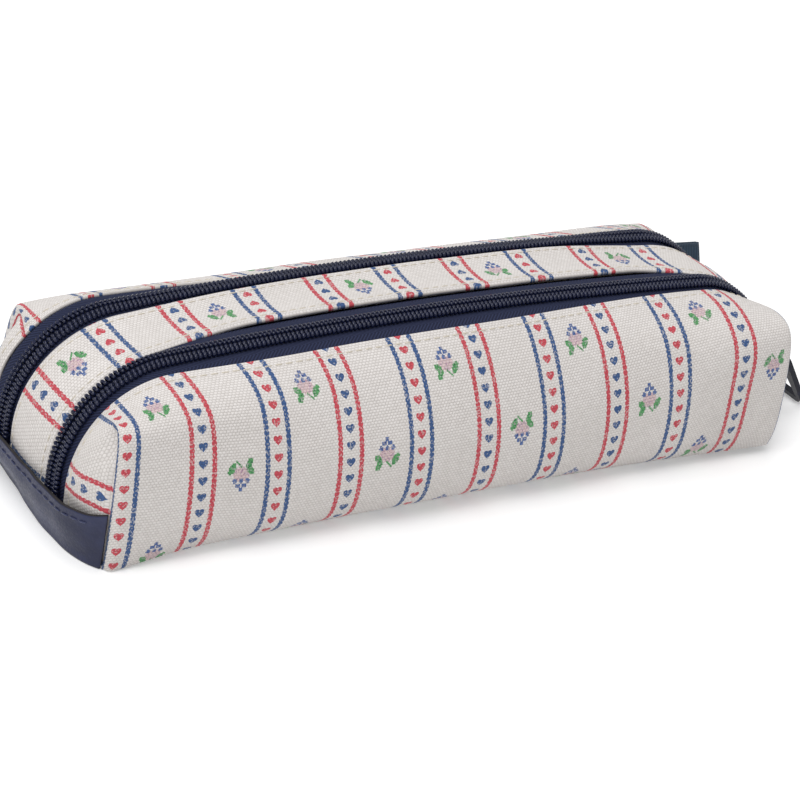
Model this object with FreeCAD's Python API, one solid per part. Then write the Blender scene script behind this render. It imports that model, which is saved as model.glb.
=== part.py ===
"""Soft pencil case with two compartments, each closed by its own coil zip.

The case is a sewn box of canvas.  Two zips run side by side over the top and down both ends.
Frame: +X along the case, +Y from the front panel to the back panel, +Z up.  The origin is the
centre of the flat base.  Sizes are in millimetres.

Every sewn layer is cut from one family of nested soft boxes: form(inset) is the outer form of the
case moved inwards by inset, so layers that lie on each other always match.
"""
import FreeCAD, Part
import math
import os
from FreeCAD import Vector

# ---- the case ---------------------------------------------------------------------------------
case_length = 219.8         # upright end to upright end, between the two zips
case_height = 46.6          # crown of the canvas above the base
corner_width = 72.0         # front to back at the four upright corner seams
end_bulge = 5.0             # how far the middle of an end would stand out past its corners
front_bulge = 4.0           # how far the middle of the front and the back stand out past the corners
side_foot = 35.5            # half of the width of the base at the middle of its length
side_bulge = 4.3            # how far the front and back belly out past their bottom edge
side_bulge_height = 22.0    # height of that belly
roof_slope = 0.21           # fall of the top, from the zips outwards
roof_start = 17.0           # distance from the middle where the top starts to fall
eave_radius = 9.0           # roundness between the top and the front or back panel
end_radius = 28.9           # roundness between the top and an end, along the zips
crown_rise = 2.7            # rise of the top from the end arcs to the middle
corner_radius = 12.0        # the same roundness at the corner seams, where the case is pointed
corner_drop = 6.1           # height of the crown over the shoulder of the pointed corner
soft_line = 22.0            # distance from the middle where the ends begin to turn pointed

# ---- cloth ------------------------------------------------------------------------------------
canvas = 1.0                # canvas with its backing
tape = 0.6                  # zip tape
lining = 0.5                # pocket lining
lining_gap = 0.5            # room between the tapes and the lining
divider = 0.8               # cloth wall between the two compartments
divider_gap = 0.1           # between the divider and a lining
strip_width = 17.0          # canvas strip between the two zips
tape_reveal = 9.2           # from a zip's centre line to the folded edge of the canvas outside it
tape_foot = 2.0             # height of the lower ends of the tapes
patch_height = 14.5         # leather patch across the foot of each end
patch_thickness = 0.9
patch_half_width = 35.6
mouth_inner = 6.0           # slit in the lining under a zip, from the zip's centre line inwards
mouth_outer = 6.0           # and outwards

# ---- ribbon tab in the back right corner seam ---------------------------------------------------
tab_length = 16.0
tab_width = 11.5
tab_foot = 14.6             # height of its lower edge
tab_ply = 0.6               # one layer of the folded ribbon
tab_slit = 0.3              # between its two layers
tab_inset = 0.6             # from the corner seam to the outer face of the ribbon

# ---- zips ---------------------------------------------------------------------------------------
zip_spacing = 28.0          # centre line to centre line
coil_width = 2.65           # one half of a closed coil
coil_gap = 0.7              # slot between the two halves, where the slider's post runs
coil_height = 2.2
tape_width = 12.5           # one half of the zip, from the centre slot to its selvedge
coil_foot = 0.5             # from the patch to the lower end of a coil, on the left end
stop_rise = 4.1             # from the patch to the lower end of the stops, on the right end
stop_length = 2.0
stop_gap = 0.2              # from the stops to the end of the coil
stop_margin = 0.3           # how much wider and higher a stop is than the coil
tail_stop_height = 3.5      # bottom stop, hidden under the left patch
tail_stop_drop = 2.0        # from the top edge of the patch to this stop
tail_stop_thickness = 0.9

# ---- sliders ------------------------------------------------------------------------------------
slider_length = 10.1        # along the zip
slider_gap = 0.2            # running clearance round the coil and the tapes
slider_plate = 1.2          # thickness of the top plate
slider_sole = 0.9           # thickness of the bottom plate
slider_side_gap = 0.3       # from the coil's outer edge to a side wall
slider_taper = 0.5          # how much narrower each side is at the tail
slider_nose_half = 2.2      # half of its width at the blunt nose
slider_nose = 1.4           # length of the slant at the nose
flange = 1.1                # side walls of the top plate
post = 0.4                  # thin post between the two halves of the coil
bridge_half = 3.8           # half of the length of the bridge
bridge_height = 4.1         # over the top plate
bridge_thickness = 2.2
pivot_height = 1.7          # pull's pivot over the top plate

# ---- pulls --------------------------------------------------------------------------------------
pull_length = 32.0          # pivot to tip
pull_thickness = 1.6
bar_radius = 0.9            # cross bar of the pull, which turns in the bridge
bar_clearance = 0.1
eye_half = 1.6              # half of the width of the eye
arm = 1.3                   # width of an arm beside the eye
eye_length = 5.6
flare_start = 6.5
flare_end = 14.0
pull_half = 6.0             # half of the greatest width
pull_corner = 3.5           # roundness of the two lower corners
window_start = 20.5         # window in the lower part of the pull
window_end = 29.6
window_top_half = 2.6
window_foot_half = 4.1
tip_height = 0.5            # the tip stands just clear of the desk

# ---- worked out from the sizes above --------------------------------------------------------------
end_x = case_length / 2
arc_x = end_x - end_radius                          # centre of the end arcs, which the zips follow
arc_z = case_height - crown_rise - end_radius
zip_y = zip_spacing / 2
fold_y = zip_y + tape_reveal
corner_y = corner_width / 2
corner_x = end_x + 2.1 - end_bulge                  # corner seams
coil_base = end_radius - canvas                     # radius of the tape's outer face on the end arc
coil_top = coil_base + coil_height
plate_top = coil_top + slider_gap + slider_plate
pivot_radius = plate_top + pivot_height
coil_outer = coil_gap / 2 + coil_width              # outer edge of a coil from the centre line
slider_half = coil_outer + slider_side_gap + flange # half of the slider's width
slider_tail_half = slider_half - slider_taper
lining_inset = canvas + tape + lining_gap
far = 400.0                                         # longer than anything here


def angle_at(height, radius):
    """Angle on the right end arc at which a circle of this radius passes a height."""
    return math.degrees(math.asin((height - arc_z) / radius))


stop_foot = patch_height + stop_rise
coil_start = stop_foot + stop_length + stop_gap
slider_tail_angle = angle_at(coil_start + stop_gap, coil_top)
slider_sweep = math.degrees(slider_length / (coil_base + coil_height / 2))
slider_angle = slider_tail_angle + slider_sweep / 2
pivot = Vector(arc_x + pivot_radius * math.cos(math.radians(slider_angle)), 0,
               arc_z + pivot_radius * math.sin(math.radians(slider_angle)))
reach = min(1.0, (pivot.z - tip_height) / pull_length)
pull_lean = max(math.degrees(math.acos(reach)), slider_angle)   # out from straight down


def box(x0, x1, y0, y1, z0, z1):
    return Part.makeBox(x1 - x0, y1 - y0, z1 - z0, Vector(x0, y0, z0))


def arc(start, middle, end):
    return Part.Arc(start, middle, end).toShape()


def line(start, end):
    return Part.LineSegment(start, end).toShape()


# ---- the soft box ---------------------------------------------------------------------------------
def side_outline(y, radius, centre_z, inset):
    """Outline seen from the front: flat base, upright ends, end arcs, and a crown arc that is
    tangent to both end arcs."""
    centre_x = end_x - radius
    drop = case_height - centre_z
    crown_radius = (centre_x ** 2 + drop ** 2 - radius ** 2) / (2 * (drop - radius))
    tilt = math.atan2(centre_x, centre_z - (case_height - crown_radius))
    half_turn = (math.pi / 2 - tilt) / 2
    r = radius - inset

    def on_arc(angle, side):
        return Vector(side * (centre_x + r * math.cos(angle)), y, centre_z + r * math.sin(angle))

    foot_r, foot_l = (Vector(s * (centre_x + r), y, inset) for s in (1, -1))
    crown = Vector(0, y, case_height - inset)
    top_angle = math.pi / 2 - tilt
    return Part.Wire([
        line(foot_l, foot_r),
        line(foot_r, on_arc(0, 1)),
        arc(on_arc(0, 1), on_arc(half_turn, 1), on_arc(top_angle, 1)),
        arc(on_arc(top_angle, 1), crown, on_arc(top_angle, -1)),
        arc(on_arc(top_angle, -1), on_arc(half_turn, -1), on_arc(0, -1)),
        line(on_arc(0, -1), foot_l)])


def zip_outline(y, inset):
    """The outline along the zips."""
    return side_outline(y, end_radius, arc_z, inset)


def along(inset):
    """Solid with the zips' outline in the middle and a pointed outline at the corner seams."""
    corner_z = case_height - corner_drop - corner_radius
    outside = corner_y + front_bulge + 2.0
    return Part.makeLoft([
        side_outline(-outside, corner_radius, corner_z, inset),
        zip_outline(-soft_line, inset),
        zip_outline(soft_line, inset),
        side_outline(outside, corner_radius, corner_z, inset)], True, True)


def across(inset):
    """Solid with the end-on section: flat base, bellied front and back, and a roof that falls
    outwards and is rounded over at its eaves."""
    belly_radius = (side_bulge_height ** 2 + side_bulge ** 2) / (2 * side_bulge)
    centre_y = side_foot + side_bulge - belly_radius
    r = belly_radius - inset
    foot = centre_y + math.sqrt(r ** 2 - (side_bulge_height - inset) ** 2)
    ridge = case_height + roof_slope * roof_start - inset * math.hypot(1, roof_slope)
    # the eave is where the roof line meets the circle of the belly
    a = 1 + roof_slope ** 2
    b = -2 * (centre_y + roof_slope * (ridge - side_bulge_height))
    c = centre_y ** 2 + (ridge - side_bulge_height) ** 2 - r ** 2
    eave = (-b + math.sqrt(b ** 2 - 4 * a * c)) / (2 * a)
    eave_z = ridge - roof_slope * eave
    x = -far / 2

    def half(side):
        return arc(Vector(x, side * foot, inset),
                   Vector(x, side * (centre_y + r), side_bulge_height),
                   Vector(x, side * eave, eave_z))

    wire = Part.Wire(Part.__sortEdges__([
        line(Vector(x, -foot, inset), Vector(x, foot, inset)), half(1),
        line(Vector(x, eave, eave_z), Vector(x, 0, ridge)),
        line(Vector(x, 0, ridge), Vector(x, -eave, eave_z)), half(-1)]))
    prism = Part.Face(wire).extrude(Vector(far, 0, 0))
    eaves = [e for e in prism.Edges
             if abs(e.CenterOfMass.x) < 1 and abs(abs(e.CenterOfMass.y) - eave) < 0.01]
    return prism.makeFillet(eave_radius - inset, eaves)


def meeting(c0, r0, c1, r1):
    """Where two circles meet, on the side of positive x and y."""
    gap = c1 - c0
    d = gap.Length
    a = (r0 ** 2 - r1 ** 2 + d ** 2) / (2 * d)
    h = math.sqrt(r0 ** 2 - a ** 2)
    middle = c0 + gap * (a / d)
    turned = Vector(-gap.y, gap.x, 0) * (h / d)
    return max(middle + turned, middle - turned, key=lambda p: p.x + p.y)


def above(inset):
    """Solid with the outline seen from above: four shallow arcs between the corner seams."""
    end_r = (corner_y ** 2 + end_bulge ** 2) / (2 * end_bulge)
    front_r = (corner_x ** 2 + front_bulge ** 2) / (2 * front_bulge)
    end_c = Vector(corner_x + end_bulge - end_r, 0, 0)
    front_c = Vector(0, corner_y + front_bulge - front_r, 0)
    tip = meeting(end_c, end_r - inset, front_c, front_r - inset)
    end = Vector(end_c.x + end_r - inset, 0, 0)
    front = Vector(0, front_c.y + front_r - inset, 0)
    quarter = {(sx, sy): Vector(sx * tip.x, sy * tip.y, 0) for sx in (-1, 1) for sy in (-1, 1)}
    wire = Part.Wire([
        arc(quarter[1, -1], end, quarter[1, 1]), arc(quarter[1, 1], front, quarter[-1, 1]),
        arc(quarter[-1, 1], end * -1, quarter[-1, -1]),
        arc(quarter[-1, -1], front * -1, quarter[1, -1])])
    wire.translate(Vector(0, 0, -far / 2))
    return Part.Face(wire).extrude(Vector(0, 0, far))


def form(inset):
    """The whole soft box, moved inwards by inset, as one solid."""
    return along(inset).common(across(inset)).common(above(inset)).removeSplitter()


def layer(outer_inset, inner_inset):
    """The cloth layer between two nested forms."""
    return form(outer_inset).cut(form(inner_inset))


# ---- sewn pieces ------------------------------------------------------------------------------------
canvas_layer = layer(0, canvas)
tape_layer = layer(canvas, canvas + tape)
lining_layer = layer(lining_inset, lining_inset + lining)
patch_layer = layer(-patch_thickness, 0)
parts = {}

parts["base_panel"] = canvas_layer.common(box(-far, far, -far, far, 0, canvas))
parts["middle_strip"] = canvas_layer.common(
    box(-far, far, -strip_width / 2, strip_width / 2, canvas, far))
for name, side in (("front", -1), ("back", 1)):
    y0, y1 = sorted((side * fold_y, side * far))
    parts[name + "_panel"] = canvas_layer.common(box(-far, far, y0, y1, canvas, far))
for name, side in (("left", -1), ("right", 1)):
    x0, x1 = sorted((side * (corner_x - 1.0), side * far))
    parts[name + "_end_patch"] = patch_layer.common(
        box(x0, x1, -patch_half_width, patch_half_width, 0, patch_height))

divider_outline = Part.Face(zip_outline(-divider / 2, canvas))
parts["divider"] = divider_outline.extrude(Vector(0, divider, 0))

for name, side in (("front", -1), ("back", 1)):
    y0, y1 = sorted((side * (divider / 2 + divider_gap), side * far))
    m0, m1 = sorted((side * (zip_y - mouth_inner), side * (zip_y + mouth_outer)))
    parts[name + "_pocket_lining"] = lining_layer.common(box(-far, far, y0, y1, 0, far)).cut(
        box(-far, far, m0, m1, tape_foot + 3.0, far))

canvas_form = form(0)
tab_outer = corner_y - tab_inset
tab_inner = tab_outer - 2 * tab_ply - tab_slit
tab = box(corner_x - 4, corner_x + tab_length, tab_inner, tab_outer, tab_foot, tab_foot + tab_width)
tab = tab.cut(box(0, corner_x + tab_length - tab_ply, tab_inner + tab_ply, tab_outer - tab_ply,
                  tab_foot, tab_foot + tab_width))
parts["side_tab"] = tab.cut(canvas_form)


# ---- zips ---------------------------------------------------------------------------------------------
def zip_band(low_inset, high_inset, y0, y1):
    """A band that follows the zips' outline between two insets and two values of y."""
    y0, y1 = sorted((y0, y1))
    outer = Part.Face(zip_outline(y0, high_inset)).extrude(Vector(0, y1 - y0, 0))
    return outer.cut(Part.Face(zip_outline(y0, low_inset)).extrude(Vector(0, y1 - y0, 0)))


right_side = (0, far)
left_side = (-far, 0)
for name, side in (("front", -1), ("back", 1)):
    centre = side * zip_y
    for edge, out in (("outer", side), ("inner", -side)):
        start, end = centre + out * coil_gap / 2, centre + out * tape_width
        y0, y1 = sorted((start, end))
        parts[f"{name}_zip_{edge}_tape"] = tape_layer.common(box(-far, far, y0, y1, tape_foot, far))
        coil = zip_band(canvas, canvas - coil_height, start, centre + out * coil_outer)
        coil = coil.common(box(-far, far, -far, far, patch_height + coil_foot, far))
        parts[f"{name}_zip_{edge}_coil"] = coil.cut(box(*right_side, -far, far, 0, coil_start))
    stops = []
    for out in (-1, 1):
        clamp = zip_band(canvas, canvas - coil_height - stop_margin, centre + out * coil_gap / 2,
                         centre + out * (coil_outer + stop_margin))
        stops.append(clamp.common(
            box(*right_side, -far, far, stop_foot, stop_foot + stop_length)))
    tail = zip_band(canvas, canvas - tail_stop_thickness, centre - coil_outer, centre + coil_outer)
    tail_top = patch_height - tail_stop_drop
    stops.append(tail.common(box(*left_side, -far, far, tail_top - tail_stop_height, tail_top)))
    parts[name + "_zip_end_stops"] = Part.makeCompound(stops)


# ---- sliders ------------------------------------------------------------------------------------------
zip_axis = Vector(arc_x, 0, arc_z)
towards_top = Vector(0, -1, 0)          # a positive turn about this axis runs up the end arc


def sector(y0, y1, r0, r1):
    """Part of a ring round the end arc's axis, over the slider's length."""
    corners = [Vector(arc_x + r, y, arc_z) for r, y in ((r0, y0), (r1, y0), (r1, y1), (r0, y1))]
    face = Part.Face(Part.makePolygon(corners + corners[:1]))
    face.rotate(zip_axis, towards_top, slider_angle - slider_sweep / 2)
    return face.revolve(zip_axis, towards_top, slider_sweep)


def upright_prism(points, thickness):
    """Prism whose outline is given as (along the zip, outwards) from the slider's middle on the
    end arc's axis, with its thickness across the zip."""
    turned = []
    for t, r in points:
        turned.append(Vector(arc_x + r, -thickness / 2, arc_z + t))
    face = Part.Face(Part.makePolygon(turned + turned[:1]))
    face.rotate(zip_axis, towards_top, slider_angle)
    return face.extrude(Vector(0, thickness, 0))


def slider_outline():
    """The slider seen from outside: blunt nose at the leading end, narrower tail."""
    half = slider_length * 0.62
    nose = slider_length / 2 - slider_nose
    right = [(-half, slider_tail_half), (-slider_nose, slider_tail_half), (slider_nose, slider_half),
             (nose, slider_half), (half, slider_nose_half)]
    loop = right + [(t, -y) for t, y in reversed(right)]
    corners = [Vector(arc_x, y, arc_z + t) for t, y in loop]
    face = Part.Face(Part.makePolygon(corners + corners[:1]))
    prism = face.extrude(Vector(2 * plate_top, 0, 0))
    prism.rotate(zip_axis, towards_top, slider_angle)
    return prism


def slider_body():
    tape_outer, tape_inner = coil_base, coil_base - tape
    roof = coil_top + slider_gap
    body = sector(-slider_half, slider_half, roof, plate_top)
    for side in (-1, 1):
        y0, y1 = sorted((side * (slider_half - flange), side * slider_half))
        body = body.fuse(sector(y0, y1, tape_outer + slider_gap, roof))
    body = body.fuse(sector(-post / 2, post / 2, tape_inner - slider_gap, roof))
    body = body.fuse(sector(-slider_half, slider_half, tape_inner - slider_gap - slider_sole,
                            tape_inner - slider_gap))
    return body.common(slider_outline()).removeSplitter()


def slider_bridge():
    """Arch over the slider, with the round hole in which the pull's bar turns."""
    y = -bridge_thickness / 2
    foot_l, foot_r, top = (Vector(arc_x + plate_top + r, y, arc_z + t) for t, r in (
        (-bridge_half, -0.5), (bridge_half, -0.5), (0, bridge_height)))
    face = Part.Face(Part.Wire([line(foot_l, foot_r), arc(foot_r, top, foot_l)]))
    face.rotate(zip_axis, towards_top, slider_angle)
    arch = face.extrude(Vector(0, bridge_thickness, 0))
    depth = 2 * bridge_thickness
    plate = Part.makeCylinder(plate_top, depth, Vector(arc_x, -depth / 2, arc_z), Vector(0, 1, 0))
    hole = Part.makeCylinder(bar_radius + bar_clearance, depth,
                             Vector(pivot.x, -depth / 2, pivot.z), Vector(0, 1, 0))
    return arch.cut(plate).cut(hole)


# ---- pulls ----------------------------------------------------------------------------------------------
def pull():
    """Flat pull.  It is drawn hanging straight down from its pivot, then leaned outwards."""
    arm_outer = eye_half + arm
    x = -pull_thickness / 2

    def at(s, y):
        return Vector(x, y, -s)

    lean = math.sqrt(0.5) * pull_corner
    foot = pull_length - pull_corner
    side = pull_half - pull_corner
    edges = []
    for k in (-1, 1):
        edges.append(line(at(0, k * arm_outer), at(flare_start, k * arm_outer)))
        edges.append(line(at(flare_start, k * arm_outer), at(flare_end, k * pull_half)))
        edges.append(line(at(flare_end, k * pull_half), at(foot, k * pull_half)))
        edges.append(arc(at(foot, k * pull_half), at(foot + lean, k * (side + lean)),
                         at(pull_length, k * side)))
    edges.append(line(at(0, -arm_outer), at(0, arm_outer)))
    edges.append(line(at(pull_length, -side), at(pull_length, side)))
    plate = Part.Face(Part.Wire(Part.__sortEdges__(edges))).extrude(Vector(pull_thickness, 0, 0))
    corners = [at(window_start, window_top_half), at(window_start, -window_top_half),
               at(window_end, -window_foot_half), at(window_end, window_foot_half)]
    window = Part.Face(Part.makePolygon(corners + corners[:1])).extrude(Vector(pull_thickness, 0, 0))
    eye = box(x, -x, -eye_half, eye_half, -eye_length, 0)
    bar = Part.makeCylinder(bar_radius, 2 * arm_outer, Vector(0, -arm_outer, 0), Vector(0, 1, 0))
    solid = plate.cut(window).cut(eye).fuse(bar).removeSplitter()
    solid.rotate(Vector(0, 0, 0), Vector(0, -1, 0), pull_lean)
    solid.translate(pivot)
    return solid


for name, side in (("front", -1), ("back", 1)):
    to_zip = Vector(0, side * zip_y, 0)
    for piece, shape in (("slider_body", slider_body()), ("slider_bridge", slider_bridge()),
                         ("pull", pull())):
        shape.translate(to_zip)
        parts[f"{name}_{piece}"] = shape


# ---- write ------------------------------------------------------------------------------------------------
os.makedirs("parts", exist_ok=True)
for node, shape in parts.items():
    solids = shape.Solids
    kept = solids[0] if len(solids) == 1 else Part.makeCompound(solids)
    kept.exportStep(f"parts/{node}.step")
    b = kept.BoundBox
    print(f"{node:24s} solids {len(solids)} volume {kept.Volume:9.2f}  "
          f"x {b.XMin:8.2f} {b.XMax:8.2f}  y {b.YMin:7.2f} {b.YMax:7.2f}  z {b.ZMin:6.2f} {b.ZMax:6.2f}"
          f"  valid {kept.isValid()}")
print("end arc axis", arc_x, arc_z, " pull pivot", round(pivot.x, 3), round(pivot.z, 3),
      " slider angle", round(slider_angle, 2), " pull lean", round(pull_lean, 2))
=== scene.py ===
# %% [markdown]
# A boxy canvas pencil case with two zips.  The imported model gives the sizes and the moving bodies;
# this script models the looks: printed canvas panels, coil zips, a leather patch on each end,
# thread, ribbon, sliders and pulls.  Lengths are worked out in millimetres, because cloth and
# zips are bought in millimetres, and turned into metres when a mesh is made.

# %% Load the frame
import math

import bmesh
import bpy
import numpy as np
from mathutils import Matrix, Vector


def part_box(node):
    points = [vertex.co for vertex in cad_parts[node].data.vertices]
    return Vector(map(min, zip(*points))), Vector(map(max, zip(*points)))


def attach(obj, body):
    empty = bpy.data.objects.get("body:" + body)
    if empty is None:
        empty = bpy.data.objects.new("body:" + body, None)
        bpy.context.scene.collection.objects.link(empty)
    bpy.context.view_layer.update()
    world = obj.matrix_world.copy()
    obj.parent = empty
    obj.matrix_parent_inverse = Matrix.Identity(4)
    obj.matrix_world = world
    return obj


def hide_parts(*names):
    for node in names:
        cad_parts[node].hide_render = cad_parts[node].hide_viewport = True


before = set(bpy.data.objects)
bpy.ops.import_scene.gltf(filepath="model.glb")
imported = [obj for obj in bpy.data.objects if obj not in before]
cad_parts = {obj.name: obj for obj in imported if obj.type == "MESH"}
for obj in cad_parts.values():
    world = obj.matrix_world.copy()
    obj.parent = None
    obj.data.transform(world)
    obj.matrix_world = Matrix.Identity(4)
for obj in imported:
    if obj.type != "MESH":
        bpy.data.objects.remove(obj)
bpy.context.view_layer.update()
MM = 0.001
strip_high = np.array(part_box("middle_strip")[1]) / MM
END_X = strip_high[0]            # upright part of the ends, between the zips
TOP = strip_high[2]              # crown of the canvas
SIDES = {"front": -1, "back": 1}
ENDS = {"left": -1, "right": 1}
print("frame: half length", round(END_X, 1), "crown", round(TOP, 1))


# %% [markdown]
# The camera looks down on the left front corner from three quarters of a metre, held slightly
# tilted.  Its rotation is built from the direction it looks in and its roll about that direction.

# %% Camera
CAMERA_AZIMUTH = math.radians(-37.45)
CAMERA_ELEVATION = math.radians(28.21)
CAMERA_ROLL = math.radians(10.56)
CAMERA_DISTANCE = 752.2
CAMERA_TARGET = np.array((0.5, 0.0, 11.2))
CAMERA_LENS = 126.9


def place_camera():
    """The backward axis comes from azimuth and elevation; right and up are then rolled about it."""
    ca, sa = math.cos(CAMERA_AZIMUTH), math.sin(CAMERA_AZIMUTH)
    ce, se = math.cos(CAMERA_ELEVATION), math.sin(CAMERA_ELEVATION)
    back = np.array((sa * ce, -ca * ce, se))
    level = np.array((ca, sa, 0.0))
    upright = np.cross(back, level)
    cr, sr = math.cos(CAMERA_ROLL), math.sin(CAMERA_ROLL)
    right, up = cr * level + sr * upright, cr * upright - sr * level
    data = bpy.data.cameras.new("camera")
    data.lens = CAMERA_LENS
    data.clip_start, data.clip_end = 0.05, 20.0
    camera = bpy.data.objects.new("camera", data)
    bpy.context.scene.collection.objects.link(camera)
    camera.matrix_world = Matrix.Translation(Vector((CAMERA_TARGET + CAMERA_DISTANCE * back) * MM)) @ \
        Matrix(np.array((right, up, back)).T.tolist()).to_4x4()
    bpy.context.scene.camera = camera
    return camera


print("camera at", [round(v, 3) for v in place_camera().location])


# %% [markdown]
# Both zips, and every cloth edge beside them, follow one line when the case is seen from the
# front: up the left end, round an arc, over a shallow crown, and down again.  One function gives
# that line by its length, so cloth laid along it is never stretched.

# %% The line of the zips
ARC_R = 28.9
CROWN_RISE = 2.7
ARC_X = END_X - ARC_R
ARC_Z = TOP - CROWN_RISE - ARC_R
DROP = TOP - ARC_Z
CROWN_R = (ARC_X ** 2 + DROP ** 2 - ARC_R ** 2) / (2 * (DROP - ARC_R))
TILT = math.atan2(ARC_X, ARC_Z - (TOP - CROWN_R))
CROWN_LENGTH = CROWN_R * TILT
ARC_LENGTH = ARC_R * (math.pi / 2 - TILT)
FOOT_S = CROWN_LENGTH + ARC_LENGTH + ARC_Z      # length at which the line reaches the base
FOOT_INWARDS = 0.55                             # slope of the line behind a patch


def zip_line(s):
    """Point and slope of the line at the signed length s from the crown.  First a circle of
    radius CROWN_R, then one of radius ARC_R tangent to it, then straight down, and inwards behind
    the patch.  Returns x, z and the angle of the outward normal from straight up."""
    a = np.abs(s)
    on_crown = np.minimum(a, CROWN_LENGTH) / CROWN_R
    on_arc = np.clip((a - CROWN_LENGTH) / ARC_R, 0, math.pi / 2 - TILT)
    down = np.maximum(a - CROWN_LENGTH - ARC_LENGTH, 0)
    turn = on_crown + on_arc
    x = np.where(a < CROWN_LENGTH, CROWN_R * np.sin(on_crown), ARC_X + ARC_R * np.sin(turn))
    x = x - FOOT_INWARDS * np.maximum(down - 5.0, 0)
    z = np.where(a < CROWN_LENGTH, TOP - CROWN_R + CROWN_R * np.cos(on_crown),
                 ARC_Z + ARC_R * np.cos(turn)) - down
    return np.sign(s) * x, z, np.sign(s) * turn


def length_at(x):
    """Length along the zips' line from the crown to the point over x."""
    a = np.abs(x)
    return np.sign(x) * np.where(a < ARC_X, a * CROWN_LENGTH / ARC_X, CROWN_LENGTH
                                 + ARC_R * np.arcsin(np.clip((a - ARC_X) / ARC_R, 0, 1)))


def stacked(*coordinates):
    """One grid of places from grids of each coordinate, stretched to the same shape."""
    return np.stack(np.broadcast_arrays(*coordinates), axis=-1)


def over(s, y, lift):
    """Points at length s along the zips' line, across at y, raised by lift along the normal."""
    x, z, turn = zip_line(s)
    return stacked(x + lift * np.sin(turn), y, z + lift * np.cos(turn))


def smooth_step(x, low, high):
    """0 below low, 1 above high, and 3tt - 2ttt between them."""
    t = np.clip((x - low) / (high - low), 0, 1)
    return t * t * (3 - 2 * t)


print("zip line: crown", round(CROWN_LENGTH, 1), "arc", round(ARC_LENGTH, 1), "foot", round(FOOT_S, 1))


# %% [markdown]
# A piece of cloth is a grid of points, rows by columns, with a second grid that says where each
# point lies on the flat cloth.  The print, the weave and the ribs of the tape read that flat
# place from a UV map in metres, so they follow every fold.  The helpers below turn grids into
# meshes and give them thickness.

# %% Grids to meshes
pieces = {}


def grid_faces(rows, cols, start=0):
    """Corner numbers of the four-sided faces between neighbouring rows and columns."""
    i = np.arange(rows * cols).reshape(rows, cols) + start
    return np.stack((i[:-1, :-1], i[:-1, 1:], i[1:, 1:], i[1:, :-1]), axis=-1).reshape(-1, 4)


def make_mesh(name, points, faces, flat=None):
    """A mesh from points in millimetres; flat holds each point's place on the flat cloth."""
    mesh = bpy.data.meshes.new(name)
    mesh.from_pydata((points * MM).tolist(), [], [list(f) for f in faces])
    if flat is not None:
        layer = mesh.uv_layers.new(name="cloth")
        corner = np.empty(len(mesh.loops), dtype=np.int32)
        mesh.loops.foreach_get("vertex_index", corner)
        layer.data.foreach_set("uv", (flat[corner] * MM).astype(np.float32).ravel())
    mesh.polygons.foreach_set("use_smooth", np.ones(len(mesh.polygons), dtype=bool))
    mesh.update()
    obj = bpy.data.objects.new(name, mesh)
    bpy.context.scene.collection.objects.link(obj)
    return obj


def cloth(name, grids, thickness, slot, *nodes):
    """One piece of cloth from several (points, flat, turned) grids.  turned grids have their
    faces flipped.  Neighbouring grids are joined where they meet, the sheet gets its thickness
    inwards, and it rides on the case in place of the named CAD nodes."""
    points, flats, faces, count = [], [], [], 0
    for xyz, flat, turned in grids:
        rows, cols = xyz.shape[:2]
        quads = grid_faces(rows, cols, count)
        faces.append(quads[:, ::-1] if turned else quads)
        points.append(xyz.reshape(-1, 3))
        flats.append(flat.reshape(-1, 2))
        count += rows * cols
    obj = make_mesh(name, np.concatenate(points), np.concatenate(faces), np.concatenate(flats))
    bm = bmesh.new()
    bm.from_mesh(obj.data)
    bmesh.ops.remove_doubles(bm, verts=bm.verts, dist=0.02 * MM)
    bm.to_mesh(obj.data)
    bm.free()
    solid = obj.modifiers.new("thickness", "SOLIDIFY")
    solid.thickness = thickness * MM
    solid.offset = -1.0
    return add_piece(obj, "case", slot, *nodes)


def add_piece(obj, body, slot, *nodes):
    """Hands a piece to the frame: its body and the CAD nodes it stands for.  slot is not used."""
    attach(obj, body)
    if nodes:
        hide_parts(*nodes)
    pieces[obj.name] = obj
    print(f"{obj.name}: {len(obj.data.polygons)} faces on {body}")
    return obj


def ripple(u, v, seed, size=14.0):
    """Soft unevenness from -1 to 1: a sum of five sine waves in random directions."""
    rng = np.random.default_rng(seed)
    total = 0
    for _ in range(5):
        angle, phase = rng.uniform(0, 2 * math.pi, 2)
        scale = size * rng.uniform(0.7, 1.9)
        total = total + np.sin(2 * math.pi * (u * math.cos(angle) + v * math.sin(angle)) / scale + phase)
    return total / 5


def spline(controls, t):
    """Cubic B-spline from the first to the last of the controls, drawn towards those between.
    controls has shape (points, columns, 3); t runs from 0 to 1.  Returns (t, columns, 3)."""
    c = np.concatenate((controls[:1], controls[:1], controls, controls[-1:], controls[-1:]))
    spans = len(c) - 3
    place = np.clip(t * spans, 0, spans - 1e-9)
    i = place.astype(int)
    f = (place - i)[:, None, None]
    return ((1 - f) ** 3 * c[i] + (3 * f ** 3 - 6 * f ** 2 + 4) * c[i + 1]
            + (-3 * f ** 3 + 3 * f ** 2 + 3 * f + 1) * c[i + 2] + f ** 3 * c[i + 3]) / 6


def lengths(points):
    """Length along a grid from its first row."""
    step = np.linalg.norm(np.diff(points, axis=0), axis=-1)
    return np.concatenate((np.zeros_like(step[:1]), np.cumsum(step, axis=0)))


# %% [markdown]
# The top of a filled soft case is not level across.  Over its middle the back zip leans away,
# with its inner edge standing up, because the back of the case slumps; the front zip lies level.

# %% How the zips lean
ZIP_Y = 14.0
BACK_LEAN = 0.27


def slump(s):
    """1 over the middle of the case, 0 on both ends."""
    return smooth_step(s, -95, -45) * (1 - smooth_step(s, 52, 84))


def zip_lean(side, s):
    """Slope of a zip's surface, away from the middle of the case."""
    return -BACK_LEAN * slump(s) if side > 0 else 0.0 * s


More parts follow.
